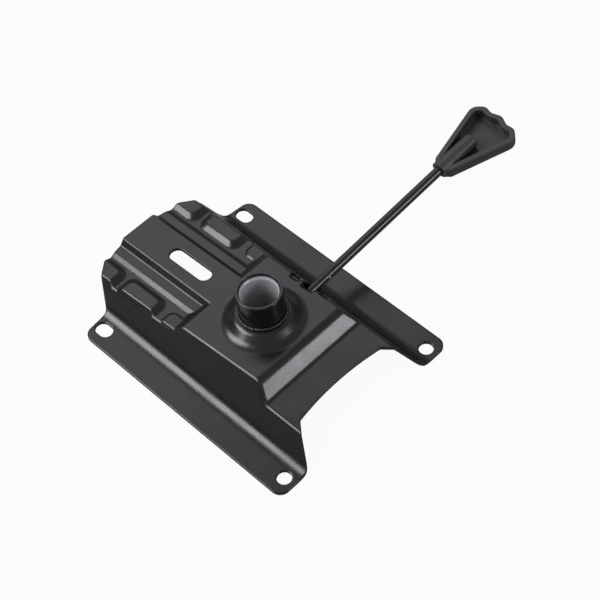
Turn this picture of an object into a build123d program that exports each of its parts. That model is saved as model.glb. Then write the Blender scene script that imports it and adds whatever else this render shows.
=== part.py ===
"""Seat plate of an office chair with its gas lift sleeve and height lever.

The plate is shown as it stands on a bench, seat side down. The origin is the middle of the
four seat screw holes on the flanges' seat face. +Z points out of the sleeve's mouth, away from
the seat. +X is the chair's front. +Y is the side that the lever leaves by.
"""
from build123d import *
from math import cos, radians, sin, tan
import os

# Seat screw pattern, the size that sets the scale of the whole plate
bolt_span_x = 200.0
bolt_span_y = 155.0
bolt_hole_radius = 5.9
rear_slot_extra = 4.0

# Pressed sheet
sheet = 2.5
deck_height = 34.2
deck_angle = 2.9
foot_half_width = 65.0
wall_lean = 31.4
foot_radius = 13.0
deck_edge_radius = 3.5

# Flanges, seen in plan
flange_side_margin = 13.9
flange_front_margin = 9.8
flange_rear_margin = 11.0
flange_half_width = bolt_span_y / 2 + flange_side_margin
flange_front = bolt_span_x / 2 + flange_front_margin
flange_rear = bolt_span_x / 2 + flange_rear_margin
flange_front_corner = 8.5
flange_rear_slant = 2.4
flange_rear_corner = 8.5
flange_root_corner = 6.0

# Front lip and the ramp down to it
ramp_start = 44.0
ramp_angle = 42.0
ramp_top_radius = 10.0
ramp_foot_radius = 4.5
lip_height = 25.0
lip_reach = 36.7
lip_front = ramp_start + lip_reach
lip_bow = 3.8
lip_corner_half_width = 43.0
lip_corner_radius = 2.5
wall_front_corner = 7.0
wall_cut_reach = 14.0
wall_cut_x = lip_front + wall_cut_reach
wall_cut_half_width = 51.8
wall_cut_radius = 12.0

# Rear tongue, seen in plan
tongue_overhang = 29.5
tongue_rear = flange_rear + tongue_overhang
tongue_nose_half_width = 15.0
tongue_shoulder_step = 3.5
tongue_shoulder_half_width = 40.0
tongue_side_step = 13.5
tongue_side_inset = 12.5
tongue_corner_radius = 9.0

# Rear channels beside the middle ridge
channel_drop = 7.0
channel_end = 38.0
channel_ramp_angle = 42.0
channel_ramp_radius = 9.0
pad_inset = 25.5
pad_inner_edge = foot_half_width - pad_inset
pad_aisle = 7.1
shelf_foot = pad_inner_edge - pad_aisle
shelf_run = 4.4
shelf_half_width = shelf_foot - shelf_run
shelf_drop = 5.2
shelf_width = 7.4
ridge_step_foot = shelf_half_width - shelf_width
ridge_step_run = 4.3
ridge_step_drop = 4.8
ridge_half_width = ridge_step_foot - ridge_step_run
ridge_radius = 1.6
ridge_run_in = 16.0

# Pads pressed up again from the channel floors, counted from the channels' front end to the rear
pad_wall_angle = 32.0
pad_corner_radius = 5.0
pad_edge_radius = 4.0
pad_edge_least = 0.5
pad_foot_radius = 4.4
pad_front_foot_radius = 3.0
pad_outer_edge_radius = 2.5
pad_wall_inset = 0.5
pad_gap = 14.0
pad_front_run = 6.0
pad_front_length = 13.5
pad_front_rise = 1.4
pad_middle_length = 33.0
pad_middle_rise = 3.2
pad_rear_overrun = 19.5
pad_rear_rise = 3.4

# Slot in the ridge for the back rest bar's screw
back_slot_x = 78.0
back_slot_length = 44.0
back_slot_width = 12.5

# Dome that carries the sleeve
sleeve_x = 4.5
dome_front_gap = 4.3
dome_foot_radius = ramp_start - sleeve_x - dome_front_gap
dome_height = 8.0
dome_foot_blend = 11.0
dome_wall_angle = 42.0
dome_shoulder_blend = 6.0

# Tapered sleeve for the gas lift
sleeve_reach = 32.9
sleeve_inside = 7.5
sleeve_mouth_radius = 18.4
sleeve_wall = 4.1
sleeve_bore_radius = sleeve_mouth_radius - sleeve_wall
sleeve_taper = 1.432
sleeve_lead_in = 2.1
sleeve_lead_in_depth = 4.5
sleeve_rim_radius = 0.8
sleeve_lead_in_edge = 0.2
sleeve_hole_clearance = 0.15

# Weld beads. The ring beads' crown stands at this share of their leg
outer_bead_leg = 2.8
inner_bead_leg = 1.8
bead_radius = 0.5
bead_swell = 0.75
bridge_bead_leg = 2.4
bridge_bead_start = 9.0
bridge_bead_length = 11.0

# Bridge under the deck, a channel with its legs towards the seat
bridge_thickness = 3.0
bridge_front = 32.5
bridge_rear = 36.0
bridge_width = 52.0
bridge_leg_depth = 10.0
bridge_bend = 2.0
bridge_corner = 4.0
bridge_notch_clearance = 1.4

# Lever rod, from its flattened tip over the sleeve to the handle
rod_radius = 4.0
rod_cross_x = 6.1
rod_cross_z = 17.4
rod_swing = 1.7
rod_rise = 8.1
rod_tip = 12.0
rod_flat_end = 20.0
rod_round_start = 27.0
rod_flat_thickness = 4.2
rod_flat_width = 12.5
rod_flat_corner = 1.4
rod_reach = 192.0
rod_into_handle = 30.0
rod_chamfer = 0.8
pivot_inset = 25.5
pivot_y = foot_half_width - pivot_inset
lever_swing = 6.0

# Nylon bush behind the side wall
bush_length = 46.0
bush_bottom = 12.5
bush_top = 31.0
bush_bearing = 5.0
bush_blank = 30.0
bush_wall_clearance = 0.1
bush_bore_clearance = 0.3
bush_pocket_radius = 8.4

# Windows punched through the side wall, measured up the wall from the rod
window_x = 9.7
window_half_width = 7.1
window_below = 6.4
window_above = 15.0
window_depth = 7.0
side_window_half_width = 5.45
window_bridge = 2.2
side_window_pitch = window_half_width + window_bridge + side_window_half_width
side_window_low = 2.6
side_window_above = 13.8
window_corner = 2.6
lug_clearance = 0.5
lug_recess = 1.9

# Clips and washers on the rod, one pair on each side of the bush
clip_thickness = 1.0
clip_outer_radius = 6.4
clip_groove_depth = 0.9
clip_groove_clearance = 0.05
clip_mouth = 5.0
washer_thickness = 1.0
washer_outer_radius = 7.0
washer_clearance = 0.15
stack_clearance = 0.5

# Moulded paddle handle, turned a little to the front from the rod's line
handle_yaw = 4.2
handle_length = 69.6
handle_rim = 4.0
handle_crown = 7.6
handle_neck_half_width = 8.0
handle_half_width = 25.4
handle_flare_step = 9.6
handle_corner_radius = 9.0
handle_corner_step = 2.0
handle_corner_inset = 8.9
handle_dip_step = 3.6
handle_dip_half_width = 8.8
handle_scallop_radius = 7.0
handle_wall = 4.4
handle_floor = 2.6
handle_crown_radius = 3.5
handle_rim_radius = 1.0
handle_hollow_start = 10.0
handle_boss_neck_wall = 3.2
handle_boss_end_wall = 2.2
handle_boss_length = 38.0

# One overrun serves every cut, and one reach every form that is trimmed later. The margin tells
# the edges on a channel floor from those along the side wall
overrun = 5.0
form_margin = 30.0
form_reach = tongue_rear + form_margin
form_height = deck_height + form_margin
form_half_width = flange_half_width + form_margin
side_form_low = -10.0
edge_margin = 1.0
deck_form_low = -15.0


def rounded_face(corners):
    """A flat face through (x, y, radius) corners, each corner rounded by its radius."""
    face = make_face(Polyline(*[(x, y) for x, y, radius in corners], close=True))
    for x, y, radius in corners:
        if radius:
            corner = face.vertices().sort_by_distance(Vector(x, y, 0))[0]
            face = fillet(corner, radius)
    return face


def mirrored_corners(corners):
    """The (x, y, radius) corners of a right half, followed by their mirror images in reverse."""
    return corners + [(-x, y, radius) for x, y, radius in reversed(corners)]


def deck_z(x):
    """Height of the deck's outer face at x."""
    return deck_height + x * tan(radians(deck_angle))


def wall_y(z):
    """Half width of the side walls' outer faces at height z."""
    return foot_half_width - (z - sheet) * tan(radians(wall_lean))


# The sleeve's frame: its origin is where the axis crosses the deck, its Z runs along the axis
sleeve_frame = Plane(Location((sleeve_x, 0, deck_z(sleeve_x)), (0, -deck_angle, 0)))


def lever_frame(rise, y):
    """A frame on the rod's rest line at y, with its Z along a rod that climbs by rise degrees."""
    across = Vector(cos(radians(rod_swing)), -sin(radians(rod_swing)), 0)
    level = Vector(sin(radians(rod_swing)), cos(radians(rod_swing)), 0)
    rest = level * cos(radians(rod_rise)) + Vector(0, 0, 1) * sin(radians(rod_rise))
    along = level * cos(radians(rise)) + Vector(0, 0, 1) * sin(radians(rise))
    centre = Vector(rod_cross_x, 0, rod_cross_z) + rest * (y / rest.Y)
    return Plane(origin=centre, x_dir=across, z_dir=along)


rod_frame = lever_frame(rod_rise, 0)
bush_frame = lever_frame(rod_rise - lever_swing / 2, pivot_y)
handle_rod = lever_frame(rod_rise, rod_reach)
handle_frame = Plane(origin=handle_rod.origin, x_dir=handle_rod.z_dir, z_dir=-handle_rod.y_dir)


def along_rod(y):
    """Distance along the rod's frame to the given Y."""
    return y / rod_frame.z_dir.Y


def sleeve_radius(height):
    """Outer radius of the sleeve at a height above the deck along its axis."""
    return sleeve_mouth_radius - (sleeve_reach - height) * tan(radians(sleeve_taper))


def sleeve_bore(height):
    """Bore radius of the sleeve at a height above the deck along its axis."""
    return sleeve_bore_radius - (sleeve_reach - height) * tan(radians(sleeve_taper))


def side_form(inset):
    """Flanges and leaning side walls, moved inwards by inset."""
    top = wall_y(form_height)
    section = rounded_face(mirrored_corners([
        (form_half_width, side_form_low, 0),
        (form_half_width, sheet, 0),
        (foot_half_width, sheet, foot_radius),
        (top, form_height, 0)]))
    if inset:
        section = offset(section, -inset, kind=Kind.INTERSECTION)
    return extrude(Plane.YZ * section, form_reach, both=True)


def deck_form(inset):
    """Lip, ramp, deck and the rear channel floors, moved inwards by inset."""
    ramp_run = (deck_z(ramp_start) - lip_height) / tan(radians(ramp_angle))
    channel_run = channel_drop / tan(radians(channel_ramp_angle))
    floor_start = -channel_end - channel_run
    profile = rounded_face([
        (-form_reach, deck_form_low, 0),
        (form_reach, deck_form_low, 0),
        (form_reach, lip_height, 0),
        (ramp_start + ramp_run, lip_height, ramp_foot_radius),
        (ramp_start, deck_z(ramp_start), ramp_top_radius),
        (-channel_end, deck_z(-channel_end), channel_ramp_radius),
        (floor_start, deck_z(floor_start) - channel_drop, channel_ramp_radius),
        (-form_reach, deck_z(-form_reach) - channel_drop, 0)])
    if inset:
        profile = offset(profile, -inset, kind=Kind.INTERSECTION)
    return extrude(Plane.XZ * profile, form_half_width, both=True)


def round_deck_edges(form, radius):
    """Round the long edges where the side walls meet the deck, lip and channel floors."""
    def is_deck_edge(edge):
        middle = edge.center()
        runs_along = edge.bounding_box().size.X > sheet / 2
        return runs_along and abs(middle.Y) > shelf_foot and middle.Z > lip_height / 2
    edges = form.edges().filter_by(is_deck_edge)
    return fillet(edges, radius)


def ridge_form(inset):
    """Middle ridge with its two steps, along the deck, moved inwards by inset."""
    section = rounded_face(mirrored_corners([
        (shelf_foot + channel_drop, -2 * channel_drop, 0),
        (shelf_foot, -channel_drop, 0),
        (shelf_half_width, -shelf_drop, ridge_radius),
        (ridge_step_foot, -ridge_step_drop, ridge_radius),
        (ridge_half_width, 0, ridge_radius)]))
    if inset:
        section = offset(section, -inset, kind=Kind.INTERSECTION)
    start = Plane(origin=sleeve_frame.origin, x_dir=(0, -1, 0), z_dir=-sleeve_frame.x_dir)
    ridge = extrude(start * section, form_reach)
    rear_half = Box(form_reach, form_half_width, form_height, align=(Align.MAX, Align.CENTER, Align.CENTER))
    return ridge & Pos(-channel_end + ridge_run_in / 2, 0, deck_height) * rear_half


def pad_form(start, end, rise, inset):
    """One pad on the left channel floor, and its mirror image on the right."""
    spread = (channel_drop + rise) / tan(radians(pad_wall_angle))
    top = rise - channel_drop - inset
    step = inset * tan(radians(pad_wall_angle / 2))
    length = start - end - 2 * step
    width = form_half_width / 2
    base = Rectangle(length + 2 * spread, width + 2 * spread)
    base = fillet(base.vertices(), pad_corner_radius + spread / 2)
    crown = Rectangle(length, width)
    crown = fillet(crown.vertices(), pad_corner_radius)
    middle_x = -(start + end) / 2 - sleeve_x
    middle_y = pad_inner_edge + step + width / 2
    low = sleeve_frame * Pos(middle_x, middle_y, top - channel_drop - rise) * base
    high = sleeve_frame * Pos(middle_x, middle_y, top) * crown
    pad = loft([low.faces()[0], high.faces()[0]], ruled=True)
    top_face = pad.faces().sort_by(Axis.Z)[-1]
    pad = fillet(top_face.edges(), max(pad_edge_radius - inset / 2, pad_edge_least))
    return pad


def trimmed_pad(pad, inset):
    """A left pad ended at the side wall, with its top edge there rounded."""
    pad &= side_form(inset + pad_wall_inset)
    wall_edges = pad.faces().sort_by(Axis.Y)[-1].edges()
    foot_z = min(edge.center().Z for edge in wall_edges)
    top_edges = [edge for edge in wall_edges if edge.center().Z > foot_z + edge_margin]
    return fillet(top_edges, pad_outer_edge_radius - inset / 2)


def add_pad(form, pad, foot):
    """Join a pad to the form, with a fillet of the foot radius around it except along the wall."""
    joined = form + pad
    if not foot:
        return joined

    def is_on_floor(edge):
        middle = edge.center()
        return abs(middle.Y) < wall_y(middle.Z) - pad_wall_inset - edge_margin
    return fillet(new_edges(pad, form, combined=joined).filter_by(is_on_floor), foot)


def dome_form(inset):
    """Bulge around the sleeve, a turned form on the sleeve's axis, moved inwards by inset."""
    lean = tan(radians(dome_wall_angle))
    run = dome_height / lean
    blend_run = dome_foot_blend * tan(radians(dome_wall_angle / 2))
    wall_foot = dome_foot_radius - blend_run
    profile = rounded_face([
        (0, -2 * dome_height, 0),
        (dome_foot_radius, -2 * dome_height, 0),
        (dome_foot_radius, 0, 0),
        (wall_foot, 0, dome_foot_blend),
        (wall_foot - run, dome_height, dome_shoulder_blend),
        (0, dome_height, 0)])
    if inset:
        profile = offset(profile, -inset, kind=Kind.INTERSECTION)
    turned = revolve(Plane.XZ * profile, Axis.Z)
    return sleeve_frame * turned


def plain_form(inset):
    """Flanges, walls, lip and deck with rounded edges, moved inwards by inset."""
    form = side_form(inset) & deck_form(inset)
    return round_deck_edges(form, deck_edge_radius - inset)


def pan_form(inset):
    """The whole pressed shape as a solid form: outer face at inset zero, inner face at the sheet."""
    form = plain_form(inset)
    sides = side_form(inset)
    form += ridge_form(inset) & sides
    for start, end, rise, foot in pad_rows():
        pad = trimmed_pad(pad_form(start, end, rise, inset), inset)
        for half in [pad, mirror(pad, Plane.XZ)]:
            form = add_pad(form, half, 0 if inset else foot)
    form += dome_form(inset)
    return form


def plan_outline():
    """The pressing's cut outline seen from above, as a tall prism."""
    lip_corner = lip_front + lip_bow
    side = [
        (lip_corner, lip_corner_half_width, lip_corner_radius),
        (wall_cut_x, wall_cut_half_width, wall_cut_radius),
        (flange_front, foot_half_width - sheet, wall_front_corner),
        (flange_front, flange_half_width, flange_front_corner),
        (flange_rear_slant - flange_rear, flange_half_width, flange_rear_corner),
        (-flange_rear, foot_half_width, flange_root_corner),
        (tongue_side_step - tongue_rear, foot_half_width - tongue_side_inset, tongue_corner_radius),
        (tongue_shoulder_step - tongue_rear, tongue_shoulder_half_width, tongue_corner_radius),
        (-tongue_rear, tongue_nose_half_width, 0)]
    corners = side + [(x, -y, radius) for x, y, radius in reversed(side)]
    sides = Polyline(*[(x, y) for x, y, radius in corners])
    lip = ThreePointArc(sides @ 1, (lip_front, 0), sides @ 0)
    outline = make_face([sides, lip])
    for x, y, radius in corners:
        if radius:
            corner = outline.vertices().sort_by_distance(Vector(x, y, 0))[0]
            outline = fillet(corner, radius)
    return extrude(outline, form_height)


def window_face(x, half_width, below, above, shrink=0.0):
    """A wall window's outline in the wall's own plane, moved inwards by shrink."""
    low = -below + shrink
    high = above - shrink
    left = x - half_width + shrink
    right = x + half_width - shrink
    radius = window_corner - shrink
    face = rounded_face([
        (left, low, radius), (right, low, radius), (right, high, radius), (left, high, radius)])
    return face


def wall_plane(depth):
    """The left wall's plane at a depth under its outer face, level with the rod, facing inwards."""
    level = lever_frame(rod_rise, pivot_y + bush_bearing).origin.Z
    lean = radians(wall_lean)
    normal = Vector(0, cos(lean), sin(lean))
    start = Vector(0, wall_y(level), level)
    return Plane(origin=start - normal * depth, x_dir=(1, 0, 0), z_dir=-normal)


side_windows = [
    (window_x - side_window_pitch, side_window_half_width),
    (window_x + side_window_pitch, side_window_half_width)]


def window_cuts():
    """The middle window, which the rod leaves by, and the two that hold the bush."""
    faces = [window_face(window_x, window_half_width, window_below, window_above)]
    for x, half_width in side_windows:
        faces.append(window_face(x, half_width, -side_window_low, side_window_above))
    return [extrude(wall_plane(window_depth) * face, -window_depth - overrun) for face in faces]


def seat_plate():
    """The pressed plate: outer form less inner form, cut to its outline and pierced."""
    plate = pan_form(0) - pan_form(sheet)
    plate &= plan_outline()
    cuts = [Pos(x, y) * Cylinder(bolt_hole_radius, 2 * form_height)
            for x in [bolt_span_x / 2] for y in [-bolt_span_y / 2, bolt_span_y / 2]]
    rear_slot = extrude(SlotCenterToCenter(rear_slot_extra, 2 * bolt_hole_radius), form_height, both=True)
    cuts += [Pos(-bolt_span_x / 2, y) * rear_slot for y in [-bolt_span_y / 2, bolt_span_y / 2]]
    back_slot = SlotCenterToCenter(back_slot_length - back_slot_width, back_slot_width)
    cuts.append(Pos(-back_slot_x, 0) * extrude(back_slot, form_height))
    hole = sleeve_radius(dome_height) + sleeve_hole_clearance
    cuts.append(sleeve_frame * Cylinder(hole, form_height))
    cuts += window_cuts()
    for cut in cuts:
        plate -= cut
    return plate


def taper_sleeve():
    """The tapered receiver tube, turned about its own axis."""
    foot = -sleeve_inside
    lead_in = sleeve_reach - sleeve_lead_in_depth
    profile = rounded_face([
        (sleeve_bore(foot), foot, 0),
        (sleeve_radius(foot), foot, sleeve_rim_radius),
        (sleeve_radius(sleeve_reach), sleeve_reach, sleeve_rim_radius),
        (sleeve_bore(sleeve_reach) + sleeve_lead_in, sleeve_reach, sleeve_lead_in_edge),
        (sleeve_bore(lead_in), lead_in, sleeve_rim_radius)])
    return sleeve_frame * revolve(Plane.XZ * profile, Axis.Z)


def ring_bead(height, leg, direction):
    """A fillet weld around the sleeve, on the face at the given height."""
    tip = height + direction * leg
    profile = rounded_face([
        (sleeve_radius(height), height, 0),
        (sleeve_radius(height) + leg, height, 0),
        (sleeve_radius(height) + leg * bead_swell, height + direction * leg * bead_swell, bead_radius),
        (sleeve_radius(tip), tip, 0)])
    return sleeve_frame * revolve(Plane.XZ * profile, Axis.Z)


def reinforcing_bridge():
    """Channel welded under the deck, which holds the sleeve's inner end."""
    half = bridge_width / 2
    top = -sheet
    inner = half - bridge_thickness
    low = top - bridge_thickness - bridge_leg_depth
    section = rounded_face(mirrored_corners([
        (inner, top - bridge_thickness, bridge_bend),
        (inner, low, 0),
        (half, low, 0),
        (half, top, bridge_bend + bridge_thickness)]))
    channel = extrude(Plane.YZ * section, bridge_front)
    channel += extrude(Plane.YZ * section, -bridge_rear)
    length = bridge_front + bridge_rear
    trim = Rectangle(length, bridge_width + overrun)
    web_trim = fillet(trim.vertices(), bridge_corner)
    channel &= Pos((bridge_front - bridge_rear) / 2, 0) * extrude(web_trim, form_height, both=True)
    channel -= Cylinder(sleeve_radius(top) + sleeve_hole_clearance, form_height)
    bridge = sleeve_frame * channel
    leg = lever_frame(rod_rise, half).origin
    climb = (pivot_y - half) * sin(radians(lever_swing))
    notch_top = leg.Z + rod_radius + climb + bridge_notch_clearance
    notch_half = rod_flat_width / 2 + bridge_notch_clearance
    notch = Box(2 * notch_half, half, form_height, align=(Align.CENTER, Align.CENTER, Align.MAX))
    notch = fillet(notch.edges().filter_by(Axis.Y), rod_radius)
    return bridge - Pos(leg.X, half, notch_top) * notch


def bridge_welds():
    """Four short fillet welds that join the bridge's ends to the underside of the deck."""
    beads = []
    top = -sheet
    for end, direction in [(bridge_front, 1), (-bridge_rear, -1)]:
        profile = make_face(Polyline(
            (end, top), (end + direction * bridge_bead_leg, top), (end, top - bridge_bead_leg),
            close=True))
        bead = extrude(Plane.XZ * profile, bridge_bead_length)
        for start in [-bridge_bead_start, bridge_bead_start + bridge_bead_length]:
            beads.append(sleeve_frame * Pos(0, start, 0) * bead)
    return beads


def stack_places():
    """Distances along the bush's frame of the washer and clip on each side of the bush."""
    face = bush_bearing / 2
    washer = face + stack_clearance + washer_thickness / 2
    clip = washer + washer_thickness / 2 + clip_groove_clearance + clip_thickness / 2
    return washer, clip


def lever_rod():
    """Steel rod, flattened over the sleeve, grooved for its clips and plain under the handle."""
    end = along_rod(rod_reach) + rod_into_handle
    start = along_rod(rod_round_start)
    flat_end = along_rod(rod_flat_end)
    tip = along_rod(-rod_tip)
    round_part = Cylinder(rod_radius, end - start, align=(Align.CENTER, Align.CENTER, Align.MIN))
    rod = Pos(0, 0, start) * round_part
    rod = chamfer(rod.edges().sort_by(Axis.Z)[-1], rod_chamfer)
    flat_section = RectangleRounded(rod_flat_width, rod_flat_thickness, rod_flat_corner)
    neck = loft([Pos(0, 0, flat_end) * flat_section, Pos(0, 0, start) * Circle(rod_radius)])
    blade = extrude(Pos(0, 0, tip) * flat_section, flat_end - tip)
    nose = Pos(0, 0, tip + rod_flat_width / 2) * Cylinder(
        rod_flat_width / 2, rod_flat_width, rotation=(90, 0, 0))
    body = Pos(0, 0, tip + rod_flat_width / 2) * Box(
        rod_flat_width, rod_flat_width, flat_end - tip, align=(Align.CENTER, Align.CENTER, Align.MIN))
    blade &= nose + body
    rod = rod + neck + blade
    washer, clip = stack_places()
    for place in [-clip, clip]:
        cut_width = clip_thickness + 2 * clip_groove_clearance
        ring = Cylinder(rod_radius + overrun, cut_width)
        ring -= Cylinder(rod_radius - clip_groove_depth, cut_width)
        rod -= Pos(0, 0, along_rod(pivot_y) + place) * ring
    return rod_frame * rod


def lever_clips():
    """Two open retaining clips snapped into the rod's grooves."""
    washer, clip = stack_places()
    ring = Cylinder(clip_outer_radius, clip_thickness)
    ring -= Cylinder(rod_radius - clip_groove_depth + clip_groove_clearance, clip_thickness)
    ring -= Pos(0, rod_radius) * Box(clip_mouth, clip_outer_radius + overrun, clip_thickness)
    places = [along_rod(pivot_y) + place for place in [-clip, clip]]
    return [rod_frame * Pos(0, 0, place) * ring for place in places]


def lever_washers():
    """Two washers between the clips and the bush."""
    washer, clip = stack_places()
    ring = Cylinder(washer_outer_radius, washer_thickness)
    ring -= Cylinder(rod_radius + washer_clearance, washer_thickness)
    places = [along_rod(pivot_y) + place for place in [-washer, washer]]
    return [rod_frame * Pos(0, 0, place) * ring for place in places]


def lever_bush():
    """Nylon bush that the rod rocks in, clipped into the two side windows."""
    height = bush_top - bush_bottom
    block = Box(bush_length, bush_blank, height, align=(Align.CENTER, Align.MIN, Align.MIN))
    block = Pos(window_x, 0, bush_bottom) * block
    face = bush_frame * Pos(0, 0, -bush_bearing / 2)
    keep = face * Box(form_half_width, form_half_width, form_height,
                      align=(Align.CENTER, Align.CENTER, Align.MIN))
    block = Pos(0, pivot_y - bush_blank / 2, 0) * block & keep
    block &= plain_form(sheet + bush_wall_clearance)
    recessed = plain_form(lug_recess)
    for x, half_width in side_windows:
        lug = window_face(x, half_width, -side_window_low, side_window_above, lug_clearance)
        block += extrude(wall_plane(window_depth) * lug, -window_depth) & recessed
    block -= bush_frame * Cylinder(rod_radius + bush_bore_clearance, form_height)
    block -= bush_frame * Pos(0, 0, bush_bearing / 2) * Cylinder(
        bush_pocket_radius, form_height, align=(Align.CENTER, Align.CENTER, Align.MIN))
    return block


def handle_outline(shrink=0.0):
    """The paddle's outline in the handle's own plane, moved inwards by shrink."""
    side = [
        (handle_length, 0, handle_scallop_radius),
        (handle_length - handle_dip_step, handle_dip_half_width, handle_scallop_radius),
        (handle_length - handle_corner_step, handle_half_width - handle_corner_inset,
         handle_scallop_radius),
        (handle_length - handle_flare_step, handle_half_width, handle_corner_radius),
        (handle_wall, handle_neck_half_width + handle_rim_radius, handle_wall),
        (0, handle_neck_half_width / 2, handle_wall)]
    outline = rounded_face(side + [(x, -y, radius) for x, y, radius in reversed(side[1:])])
    if shrink:
        outline = offset(outline, -shrink, kind=Kind.INTERSECTION)
    return outline


def lever_handle():
    """Moulded paddle: a shell open away from the seat, with a boss that grips the rod."""
    body = extrude(Pos(0, 0, -handle_crown) * handle_outline(), handle_crown + handle_rim)
    body = fillet(body.faces().sort_by(Axis.Z)[0].edges(), handle_crown_radius)
    body = fillet(body.faces().sort_by(Axis.Z)[-1].edges(), handle_rim_radius)
    floor = Pos(0, 0, handle_floor - handle_crown)
    hollow = extrude(floor * handle_outline(handle_wall), form_height)
    hollow -= Box(2 * handle_hollow_start, form_half_width, form_height)
    boss = Cone(rod_radius + handle_boss_neck_wall, rod_radius + handle_boss_end_wall,
                handle_boss_length, rotation=(0, 90, 0), align=(Align.CENTER, Align.CENTER, Align.MIN))
    handle = Rot(0, 0, -handle_yaw) * (body - hollow) + boss
    handle -= Cylinder(rod_radius, 2 * rod_into_handle, rotation=(0, 90, 0))
    return handle_frame * handle


def pad_rows():
    """Rear end, front end, rise and foot radius of each pad on a channel."""
    front_end = channel_end + pad_front_run
    front_start = front_end + pad_front_length
    middle_end = front_start + pad_gap
    middle_start = middle_end + pad_middle_length
    rear_end = middle_start + pad_gap
    return [
        (tongue_rear + pad_rear_overrun, rear_end, pad_rear_rise, pad_foot_radius),
        (middle_start, middle_end, pad_middle_rise, pad_foot_radius),
        (front_start, front_end, pad_front_rise, pad_front_foot_radius)]


pieces = {
    "seat_plate": seat_plate,
    "taper_sleeve": taper_sleeve,
    "sleeve_weld_outer": lambda: ring_bead(dome_height, outer_bead_leg, 1),
    "sleeve_weld_inner": lambda: ring_bead(-sheet - bridge_thickness, inner_bead_leg, -1),
    "reinforcing_bridge": reinforcing_bridge,
    "bridge_welds": bridge_welds,
    "lever_bush": lever_bush,
    "lever_rod": lever_rod,
    "lever_washers": lever_washers,
    "lever_clips": lever_clips,
    "lever_handle": lever_handle,
}

os.makedirs("parts", exist_ok=True)
for name, make in pieces.items():
    piece = make()
    if isinstance(piece, list):
        piece = Compound(children=[Part(solid.wrapped) for solid in piece])
    export_step(piece, f"parts/{name}.step")
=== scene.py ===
"""Office chair seat plate with gas lift sleeve and paddle lever, seat side down on a pale floor."""
from math import cos, pi, radians, sin
from random import Random

import bpy
from mathutils import Euler, Matrix, Vector


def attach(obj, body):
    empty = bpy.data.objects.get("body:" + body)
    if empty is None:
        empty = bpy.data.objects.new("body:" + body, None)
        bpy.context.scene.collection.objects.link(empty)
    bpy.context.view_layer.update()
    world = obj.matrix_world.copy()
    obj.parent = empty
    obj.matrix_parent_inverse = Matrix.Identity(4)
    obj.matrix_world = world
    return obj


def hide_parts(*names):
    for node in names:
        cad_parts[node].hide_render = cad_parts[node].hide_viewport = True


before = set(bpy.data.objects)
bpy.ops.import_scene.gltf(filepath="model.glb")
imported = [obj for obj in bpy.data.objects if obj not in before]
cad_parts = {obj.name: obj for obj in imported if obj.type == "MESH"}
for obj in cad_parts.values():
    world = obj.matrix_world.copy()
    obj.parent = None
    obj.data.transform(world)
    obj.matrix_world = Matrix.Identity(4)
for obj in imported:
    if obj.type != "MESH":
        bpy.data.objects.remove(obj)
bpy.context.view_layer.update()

MM = 0.001

# The camera that fits the photograph, found from the four screw holes and the sleeve's rim
CAMERA_AZIMUTH = 49.328
CAMERA_ELEVATION = 52.914
CAMERA_ROLL = -6.129
CAMERA_DISTANCE = 1.3015
CAMERA_TARGET = Vector((-0.006489, 0.047277, 0))
CAMERA_LENS = 98.7
CAMERA_NEAREST = 0.05
CAMERA_FARTHEST = 20

# The sleeve's axis: where it crosses the deck, and how far it leans to the rear
SLEEVE_FOOT = Vector((4.5 * MM, 0, 34.428 * MM))
SLEEVE_LEAN = radians(-2.9)
SLEEVE_FRAME = Matrix.Translation(SLEEVE_FOOT) @ Euler((0, SLEEVE_LEAN, 0)).to_matrix().to_4x4()

# The sleeve's bore is bare within this radius and below this height, each with a soft edge
BARE_RADIUS = (17.0 * MM, 16.2 * MM)
BARE_HEIGHT = (30.2 * MM, 31.2 * MM)
# Heights between which painted shade on the bore's steel fades, from dark deep down to bright near
# the mouth
BORE_SHADING = (8 * MM, 28 * MM)
# Tool rings are finer than this on the real sleeve, and are drawn this coarse so that they show
RING_PITCH = 2.0106 * MM
# Blender's wave bands repeat after this length at a scale of 1
WAVE_BAND = pi / 10

# Rays that each edge-rounding node casts
EDGE_SAMPLES = 8

# The nick on the rod, where its enamel is gone
NICK_PLACE = Vector((11.72, 64.87, 28.22)) * MM
NICK_RADIUS = (1.1 * MM, 0.8 * MM)

# Weld runs, each a row of overlapping dabs. A run's radius and height are those of its middle
OUTER_RUN_RADIUS = 18.75 * MM
OUTER_RUN_HEIGHT = 8.95 * MM
OUTER_DAB = 1.5 * MM
INNER_RUN_RADIUS = 18.0 * MM
INNER_RUN_HEIGHT = -6.1 * MM
INNER_DAB = 1.05 * MM
BRIDGE_RUN_STARTS = (-20 * MM, 9 * MM)
BRIDGE_RUN_LENGTH = 11 * MM
BRIDGE_ENDS = ((32.5 * MM, 1), (-36 * MM, -1))
BRIDGE_DAB = 1.35 * MM
BRIDGE_RUN_DROP = 3.3 * MM
# From dab to dab, and a dab's thickness along its run, as shares of its radius
DAB_PITCH = 0.8
DAB_THICKNESS = 0.72
# How far dabs differ in size, and how far they tilt in degrees
DAB_SIZES = (0.92, 1.08)
DAB_TILTS = (-14, 14)
WELD_VOXEL = 0.24 * MM
WELD_SEED = 11

# Lamps: name, direction from the object, distance and size in metres, power in watts
SOFT_BOXES = (
    ("soft_box_left", (-0.5, -0.52, 0.68), 1.6, 1.1, 0.8, 25),
    ("soft_box_behind", (-0.63, 0.37, 0.72), 1.7, 1.05, 1.1, 4.0),
    ("soft_box_right", (0.79, 0.3, 0.47), 1.7, 0.6, 0.34, 8))
# The photograph's highlights are very slightly blue
SOFT_BOX_COLOUR = (0.96, 0.95, 1.0)

# The studio that the object sees: grey by height, from the horizon at 0 to straight up at 1
SKY_GREYS = ((0.0, 0.03), (0.3, 0.14), (0.6, 0.42), (1.0, 0.28))
SKY_STRENGTH = 1.1
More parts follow.
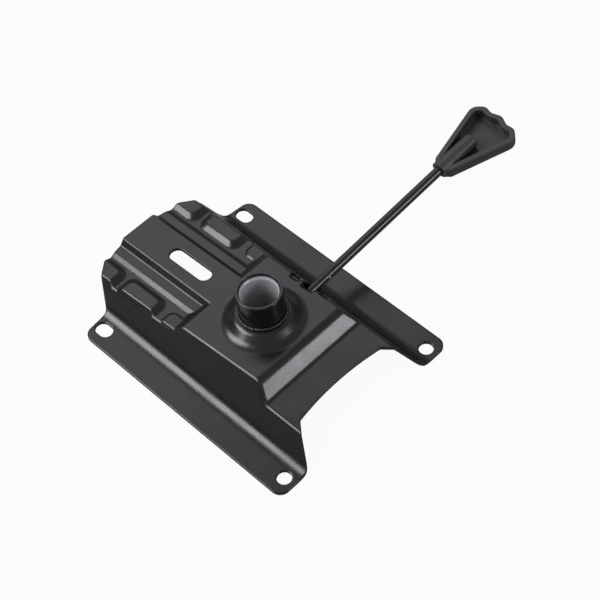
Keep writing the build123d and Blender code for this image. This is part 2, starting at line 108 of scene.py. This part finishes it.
# How much of the white backdrop shows in reflections, and in the floor to the camera
BACKDROP_IN_REFLECTIONS = 0.06
BACKDROP_IN_FLOOR = 0.95
FLOOR_SIZE = 6
FLOOR_GAP = 0.05 * MM


def linear(hex_colour):
    """An sRGB hex colour as linear RGBA."""
    channels = [int(hex_colour[i:i + 2], 16) / 255 for i in (1, 3, 5)]
    return tuple(c / 12.92 if c <= 0.04045 else ((c + 0.055) / 1.055) ** 2.4
                 for c in channels) + (1,)


def set_inputs(tree, node, inputs):
    """Sets a node's inputs, each to another node, a socket, a hex colour or a plain value."""
    for name, value in inputs.items():
        if isinstance(value, bpy.types.Node):
            value = value.outputs[0]
        if isinstance(value, bpy.types.NodeSocket):
            tree.links.new(value, node.inputs[name])
        else:
            node.inputs[name].default_value = linear(value) if isinstance(value, str) else value


def add_node(tree, kind, inputs=None, **settings):
    """Adds a node with its settings, then its inputs."""
    node = tree.nodes.new(kind)
    for name, value in settings.items():
        setattr(node, name, value)
    set_inputs(tree, node, inputs or {})
    return node


def new_material(name):
    """A material with one principled shader, and the object's own coordinates in metres."""
    material = bpy.data.materials.new(name)
    material.use_nodes = True
    tree = material.node_tree
    place = add_node(tree, "ShaderNodeTexCoord").outputs["Object"]
    return material, tree, tree.nodes["Principled BSDF"], place


def powder_coat():
    """Semi gloss black powder coat: baked powder leaves a faint orange peel and a few specks."""
    material, tree, shader, place = new_material("black_powder_coat")
    black, speck_grey = "#101012", "#4c4c4e"
    peel_size, sag_size, sheen_size = 2.4 * MM, 26 * MM, 34 * MM
    # Real specks are finer, and are drawn this coarse so that they show
    speck_size = 1.3 * MM

    peel_noise = add_node(tree, "ShaderNodeTexNoise", {
        "Vector": place, "Scale": 1 / peel_size, "Detail": 2.0})
    peel = add_node(tree, "ShaderNodeMapRange", {
        "Value": peel_noise, "From Min": 0, "From Max": 1, "To Min": 0, "To Max": 0.15})
    sag = add_node(tree, "ShaderNodeTexNoise", {
        "Vector": place, "Scale": 1 / sag_size, "Detail": 1.0})
    height = add_node(tree, "ShaderNodeMath", {0: sag, 1: peel}, operation="ADD")
    edges = add_node(tree, "ShaderNodeBevel", {"Radius": 1.8 * MM}, samples=EDGE_SAMPLES)
    relief = add_node(tree, "ShaderNodeBump", {
        "Height": height, "Normal": edges, "Strength": 0.3, "Distance": 1.0 * MM})

    sheen_noise = add_node(tree, "ShaderNodeTexNoise", {
        "Vector": place, "Scale": 1 / sheen_size, "Detail": 4.0})
    roughness = add_node(tree, "ShaderNodeMapRange", {
        "Value": sheen_noise, "From Min": 0.35, "From Max": 0.7, "To Min": 0.23, "To Max": 0.31})

    speck_noise = add_node(tree, "ShaderNodeTexNoise", {
        "Vector": place, "Scale": 1 / speck_size, "Detail": 1.0})
    specks = add_node(tree, "ShaderNodeMapRange", {
        "Value": speck_noise, "From Min": 0.76, "From Max": 0.84, "To Min": 0.0, "To Max": 0.3})
    colour = add_node(tree, "ShaderNodeMix", {0: specks, 6: black, 7: speck_grey},
                      data_type="RGBA")
    set_inputs(tree, shader, {
        "Base Color": colour.outputs[2], "Roughness": roughness, "Normal": relief})
    return material


def turned_sleeve():
    """Powder coat outside. Inside, bare turned steel shows its rings, their crests carry painted
    highlights, and painted shade darkens it deep down.
    """
    material, tree, shader, place = new_material("coated_sleeve_with_turned_bore")
    # The two steel greys paint shade: dark deep in the bore, bright near the mouth where light
    # reaches
    black, painted_shade_deep_steel, painted_lit_mouth_steel, ring_crest_highlight = "#1a1a1c", "#66676a", "#b4b5b7", "#d6d7d9"
    coat_roughness, steel_roughness = 0.18, 0.28

    turn = add_node(tree, "ShaderNodeMapping", {
        "Vector": place, "Location": SLEEVE_FOOT, "Rotation": (0, SLEEVE_LEAN, 0)},
        vector_type="TEXTURE")
    parts = add_node(tree, "ShaderNodeSeparateXYZ", {"Vector": turn})
    height = parts.outputs["Z"]
    across = add_node(tree, "ShaderNodeCombineXYZ", {
        "X": parts.outputs["X"], "Y": parts.outputs["Y"]})
    radius = add_node(tree, "ShaderNodeVectorMath", {0: across}, operation="LENGTH")
    within = add_node(tree, "ShaderNodeMapRange", {
        "Value": radius.outputs["Value"], "From Min": BARE_RADIUS[0], "From Max": BARE_RADIUS[1],
        "To Min": 0.0, "To Max": 1.0})
    below = add_node(tree, "ShaderNodeMapRange", {
        "Value": height, "From Min": BARE_HEIGHT[0], "From Max": BARE_HEIGHT[1],
        "To Min": 1.0, "To Max": 0.0})
    bare = add_node(tree, "ShaderNodeMath", {0: within, 1: below}, operation="MULTIPLY")

    rings = add_node(tree, "ShaderNodeTexWave", {
        "Vector": turn, "Scale": WAVE_BAND / RING_PITCH, "Distortion": 1.2, "Detail": 2.0,
        "Detail Scale": 2.0}, bands_direction="Z").outputs["Fac"]
    # Painted shade: the bore's steel is darker deep down and brighter towards the mouth
    painted_shade_fade = add_node(tree, "ShaderNodeMapRange", {
        "Value": height, "From Min": BORE_SHADING[0], "From Max": BORE_SHADING[1],
        "To Min": 0.0, "To Max": 1.0})
    painted_shade_steel = add_node(tree, "ShaderNodeMix", {0: painted_shade_fade, 6: painted_shade_deep_steel, 7: painted_lit_mouth_steel},
                     data_type="RGBA")
    # The tool rings are real; the lighter grey on their crests is a painted highlight
    crest_highlights = add_node(tree, "ShaderNodeMapRange", {
        "Value": rings, "From Min": 0.2, "From Max": 1.0, "To Min": 0.0, "To Max": 0.6})
    steel_with_crest_highlights = add_node(tree, "ShaderNodeMix", {0: crest_highlights, 6: painted_shade_steel.outputs[2], 7: ring_crest_highlight},
                      data_type="RGBA")
    colour = add_node(tree, "ShaderNodeMix", {0: bare, 6: black, 7: steel_with_crest_highlights.outputs[2]},
                      data_type="RGBA")
    roughness = add_node(tree, "ShaderNodeMapRange", {
        "Value": bare, "From Min": 0.0, "From Max": 1.0,
        "To Min": coat_roughness, "To Max": steel_roughness})
    metallic = add_node(tree, "ShaderNodeMapRange", {
        "Value": bare, "From Min": 0.0, "From Max": 1.0, "To Min": 0.0, "To Max": 0.35})

    grooves = add_node(tree, "ShaderNodeMath", {0: rings, 1: bare}, operation="MULTIPLY")
    edges = add_node(tree, "ShaderNodeBevel", {"Radius": 0.4 * MM}, samples=EDGE_SAMPLES)
    relief = add_node(tree, "ShaderNodeBump", {
        "Height": grooves, "Normal": edges, "Strength": 0.6, "Distance": 0.2 * MM})
    set_inputs(tree, shader, {
        "Base Color": colour.outputs[2], "Roughness": roughness, "Metallic": metallic,
        "Normal": relief})
    return material


def weld_metal():
    """Coated weld metal: the coat pools between the ripples, and spatter makes it uneven."""
    material, tree, shader, place = new_material("coated_weld_bead")
    spatter_size, pool_size = 0.9 * MM, 1.6 * MM

    spatter = add_node(tree, "ShaderNodeTexNoise", {
        "Vector": place, "Scale": 1 / spatter_size, "Detail": 3.0})
    relief = add_node(tree, "ShaderNodeBump", {
        "Height": spatter, "Strength": 0.35, "Distance": 0.2 * MM})
    pools = add_node(tree, "ShaderNodeTexNoise", {
        "Vector": place, "Scale": 1 / pool_size, "Detail": 2.0})
    roughness = add_node(tree, "ShaderNodeMapRange", {
        "Value": pools, "From Min": 0.3, "From Max": 0.7, "To Min": 0.14, "To Max": 0.34})
    set_inputs(tree, shader, {
        "Base Color": "#0f0f11", "Roughness": roughness, "Normal": relief})
    return material


def gloss_enamel():
    """Black enamel on drawn steel rod: clear soft highlights, and one nick down to bare steel."""
    material, tree, shader, place = new_material("gloss_black_enamel")
    black, bare_steel = "#161617", "#8d8f92"
    wave_size, nick_edge_size = 9 * MM, 1.2 * MM

    waves = add_node(tree, "ShaderNodeTexNoise", {
        "Vector": place, "Scale": 1 / wave_size, "Detail": 2.0})
    relief = add_node(tree, "ShaderNodeBump", {
        "Height": waves, "Strength": 0.25, "Distance": 0.2 * MM})

    gap = add_node(tree, "ShaderNodeVectorMath", {0: place, 1: NICK_PLACE}, operation="DISTANCE")
    edge_noise = add_node(tree, "ShaderNodeTexNoise", {
        "Vector": place, "Scale": 1 / nick_edge_size, "Detail": 2.0})
    raggedness = add_node(tree, "ShaderNodeMapRange", {
        "Value": edge_noise, "From Min": 0, "From Max": 1,
        "To Min": -0.5 * MM, "To Max": 0.5 * MM})
    ragged = add_node(tree, "ShaderNodeMath", {0: gap.outputs["Value"], 1: raggedness},
                      operation="ADD")
    nick = add_node(tree, "ShaderNodeMapRange", {
        "Value": ragged, "From Min": NICK_RADIUS[0], "From Max": NICK_RADIUS[1],
        "To Min": 0.0, "To Max": 1.0})
    colour = add_node(tree, "ShaderNodeMix", {0: nick, 6: black, 7: bare_steel},
                      data_type="RGBA")
    roughness = add_node(tree, "ShaderNodeMapRange", {
        "Value": nick, "From Min": 0, "From Max": 1, "To Min": 0.22, "To Max": 0.4})
    set_inputs(tree, shader, {
        "Base Color": colour.outputs[2], "Roughness": roughness, "Normal": relief})
    return material


def moulded_plastic():
    """Matte black polypropylene from an etched tool: a fine even grain, no clear highlights."""
    material, tree, shader, place = new_material("moulded_black_polypropylene")
    grain_size, sheen_size = 0.5 * MM, 14 * MM

    grain = add_node(tree, "ShaderNodeTexNoise", {
        "Vector": place, "Scale": 1 / grain_size, "Detail": 2.0})
    edges = add_node(tree, "ShaderNodeBevel", {"Radius": 0.8 * MM}, samples=EDGE_SAMPLES)
    relief = add_node(tree, "ShaderNodeBump", {
        "Height": grain, "Normal": edges, "Strength": 0.3, "Distance": 0.08 * MM})
    sheen_noise = add_node(tree, "ShaderNodeTexNoise", {
        "Vector": place, "Scale": 1 / sheen_size, "Detail": 3.0})
    roughness = add_node(tree, "ShaderNodeMapRange", {
        "Value": sheen_noise, "From Min": 0.3, "From Max": 0.7, "To Min": 0.42, "To Max": 0.55})
    set_inputs(tree, shader, {
        "Base Color": "#303031", "Roughness": roughness, "Normal": relief})
    return material


def black_nylon():
    """Moulded nylon: a little waxier than the handle's plastic."""
    material, tree, shader, place = new_material("black_nylon")
    grain_size = 0.8 * MM

    grain = add_node(tree, "ShaderNodeTexNoise", {
        "Vector": place, "Scale": 1 / grain_size, "Detail": 1.0})
    edges = add_node(tree, "ShaderNodeBevel", {"Radius": 0.3 * MM}, samples=EDGE_SAMPLES)
    relief = add_node(tree, "ShaderNodeBump", {
        "Height": grain, "Normal": edges, "Strength": 0.25, "Distance": 0.06 * MM})
    set_inputs(tree, shader, {"Base Color": "#1d1d1f", "Roughness": 0.4, "Normal": relief})
    return material


def phosphated_steel():
    """Stamped spring steel with a dark phosphate finish: dull grey with a soft cloudy gloss."""
    material, tree, shader, place = new_material("phosphated_spring_steel")
    cloud_size, grain_size = 3 * MM, 0.6 * MM

    clouds = add_node(tree, "ShaderNodeTexNoise", {
        "Vector": place, "Scale": 1 / cloud_size, "Detail": 3.0})
    roughness = add_node(tree, "ShaderNodeMapRange", {
        "Value": clouds, "From Min": 0.3, "From Max": 0.7, "To Min": 0.35, "To Max": 0.55})
    grain = add_node(tree, "ShaderNodeTexNoise", {
        "Vector": place, "Scale": 1 / grain_size, "Detail": 2.0})
    relief = add_node(tree, "ShaderNodeBump", {
        "Height": grain, "Strength": 0.2, "Distance": 0.05 * MM})
    set_inputs(tree, shader, {
        "Base Color": "#3a3b3d", "Metallic": 1.0, "Roughness": roughness, "Normal": relief})
    return material


def finish_node(node, material):
    """Gives a carried over solid its finish."""
    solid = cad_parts[node]
    solid.data.materials.clear()
    solid.data.materials.append(material)


def weld_run(name, places, radius, random):
    """One weld run: overlapping dabs at the given places, melted into a single rippled bead."""
    dabs = []
    for place in places:
        size = radius * random.uniform(*DAB_SIZES)
        bpy.ops.object.select_all(action="DESELECT")
        bpy.ops.mesh.primitive_uv_sphere_add(segments=16, ring_count=10, radius=size)
        dab = bpy.context.object
        tilt = Euler((radians(random.uniform(*DAB_TILTS)), radians(random.uniform(*DAB_TILTS)), 0))
        flat = Matrix.Diagonal((1, DAB_THICKNESS, 1, 1))
        dab.matrix_world = place @ tilt.to_matrix().to_4x4() @ flat
        dabs.append(dab)
    bpy.ops.object.select_all(action="DESELECT")
    for dab in dabs:
        dab.select_set(True)
    bpy.context.view_layer.objects.active = dabs[0]
    bpy.ops.object.join()
    bead = bpy.context.object
    bead.name = name
    bpy.ops.object.transform_apply(location=True, rotation=True, scale=True)
    melt = bead.modifiers.new("melt", "REMESH")
    melt.mode = "VOXEL"
    melt.voxel_size = WELD_VOXEL
    bpy.ops.object.modifier_apply(modifier=melt.name)
    bpy.ops.object.shade_smooth()
    return bead


def ring_places(radius, height, dab):
    """Places of the dabs of a ring run around the sleeve."""
    count = round(2 * pi * radius / (DAB_PITCH * dab))
    return [SLEEVE_FRAME @ Matrix.Rotation(2 * pi * i / count, 4, "Z")
            @ Matrix.Translation((radius, 0, height)) for i in range(count)]


def bridge_places():
    """Places of the dabs of the four short runs at the bridge's ends."""
    count = round(BRIDGE_RUN_LENGTH / (DAB_PITCH * BRIDGE_DAB))
    step = BRIDGE_RUN_LENGTH / count
    return [SLEEVE_FRAME @ Matrix.Translation((
                end + side * BRIDGE_DAB / 2, start + (i + 0.5) * step, -BRIDGE_RUN_DROP))
            for end, side in BRIDGE_ENDS for start in BRIDGE_RUN_STARTS for i in range(count)]


def make_welds():
    """The three groups of weld runs, in place of the plain beads."""
    metal = weld_metal()
    random = Random(WELD_SEED)
    outer_ring = ring_places(OUTER_RUN_RADIUS, OUTER_RUN_HEIGHT, OUTER_DAB)
    inner_ring = ring_places(INNER_RUN_RADIUS, INNER_RUN_HEIGHT, INNER_DAB)
    runs = (
        ("rippled_outer_ring", outer_ring, OUTER_DAB, "sleeve_weld_outer"),
        ("rippled_inner_ring", inner_ring, INNER_DAB, "sleeve_weld_inner"),
        ("rippled_bridge_runs", bridge_places(), BRIDGE_DAB, "bridge_welds"))
    for name, places, dab, node in runs:
        bead = weld_run(name, places, dab, random)
        bead.data.materials.append(metal)
        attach(bead, "plate")
        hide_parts(node)


def make_camera():
    """Places the camera at the photograph's view, with the photograph's slight roll."""
    azimuth, elevation, roll = map(radians, (CAMERA_AZIMUTH, CAMERA_ELEVATION, CAMERA_ROLL))
    back = Vector((sin(azimuth) * cos(elevation), -cos(azimuth) * cos(elevation), sin(elevation)))
    right = Vector((0, 0, 1)).cross(back).normalized()
    up = back.cross(right)
    turned_right = cos(roll) * right + sin(roll) * up
    turned_up = cos(roll) * up - sin(roll) * right
    turn = Matrix((turned_right, turned_up, back)).transposed().to_4x4()
    bpy.ops.object.camera_add()
    camera = bpy.context.object
    camera.matrix_world = Matrix.Translation(CAMERA_TARGET + back * CAMERA_DISTANCE) @ turn
    camera.data.lens = CAMERA_LENS
    camera.data.clip_start = CAMERA_NEAREST
    camera.data.clip_end = CAMERA_FARTHEST
    bpy.context.scene.camera = camera


def soft_box(name, direction, distance, width, height, power):
    """A rectangular lamp that looks at the object from the given direction."""
    towards = Vector(direction).normalized()
    bpy.ops.object.light_add(type="AREA", location=towards * distance)
    lamp = bpy.context.object
    lamp.name = name
    lamp.rotation_euler = towards.to_track_quat("Z", "Y").to_euler()
    lamp.data.shape = "RECTANGLE"
    lamp.data.size = width
    lamp.data.size_y = height
    lamp.data.energy = power
    lamp.data.color = SOFT_BOX_COLOUR


def backdrop_share(tree):
    """Share of the plain white backdrop: all of it for the camera, a little for reflections."""
    path = add_node(tree, "ShaderNodeLightPath")
    glossy = add_node(tree, "ShaderNodeMath", {
        0: path.outputs["Is Glossy Ray"], 1: BACKDROP_IN_REFLECTIONS}, operation="MULTIPLY")
    clear = add_node(tree, "ShaderNodeMath", {
        0: path.outputs["Is Camera Ray"], 1: path.outputs["Is Transmission Ray"]},
        operation="MAXIMUM")
    return add_node(tree, "ShaderNodeMath", {0: clear, 1: glossy}, operation="MAXIMUM")


def make_sky():
    """White for the camera. For the object, a dim studio that is darker low down."""
    world = bpy.data.worlds.new("studio")
    bpy.context.scene.world = world
    world.use_nodes = True
    tree = world.node_tree
    tree.nodes.clear()
    direction = add_node(tree, "ShaderNodeTexCoord").outputs["Generated"]
    height = add_node(tree, "ShaderNodeSeparateXYZ", {"Vector": direction}).outputs["Z"]
    level = add_node(tree, "ShaderNodeValToRGB", {"Fac": height})
    ramp = level.color_ramp
    ramp.elements.remove(ramp.elements[1])
    for i, (position, grey) in enumerate(SKY_GREYS):
        step = ramp.elements.new(position) if i else ramp.elements[0]
        step.position = position
        step.color = (grey, grey, grey, 1)
    sky = add_node(tree, "ShaderNodeBackground", {"Color": level, "Strength": SKY_STRENGTH})
    white = add_node(tree, "ShaderNodeBackground", {"Color": "#fbfbfb"})
    mix = add_node(tree, "ShaderNodeMixShader", {0: backdrop_share(tree), 1: sky, 2: white})
    add_node(tree, "ShaderNodeOutputWorld", {"Surface": mix})


def make_floor():
    """A pale sweep: mostly plain white to the camera, with the rest left to take the shadow."""
    bpy.ops.mesh.primitive_plane_add(size=FLOOR_SIZE, location=(0, 0, -FLOOR_GAP))
    floor = bpy.context.object
    floor.name = "floor"
    paper = bpy.data.materials.new("white_paper_sweep")
    paper.use_nodes = True
    tree = paper.node_tree
    shader = tree.nodes["Principled BSDF"]
    set_inputs(tree, shader, {"Base Color": "#909090", "Roughness": 0.9})
    glow = add_node(tree, "ShaderNodeEmission")
    share = add_node(tree, "ShaderNodeMath", {0: backdrop_share(tree), 1: BACKDROP_IN_FLOOR},
                     operation="MULTIPLY")
    mix = add_node(tree, "ShaderNodeMixShader", {0: share, 1: shader, 2: glow})
    set_inputs(tree, tree.nodes["Material Output"], {"Surface": mix})
    floor.data.materials.append(paper)


make_camera()
for lamp in SOFT_BOXES:
    soft_box(*lamp)
make_sky()
make_floor()

coat = powder_coat()
for node in ("seat_plate", "reinforcing_bridge"):
    finish_node(node, coat)
finish_node("taper_sleeve", turned_sleeve())
finish_node("lever_rod", gloss_enamel())
finish_node("lever_handle", moulded_plastic())
finish_node("lever_bush", black_nylon())
spring_steel = phosphated_steel()
for node in ("lever_washers", "lever_clips"):
    finish_node(node, spring_steel)
make_welds()

bpy.context.scene.view_settings.view_transform = "Standard"
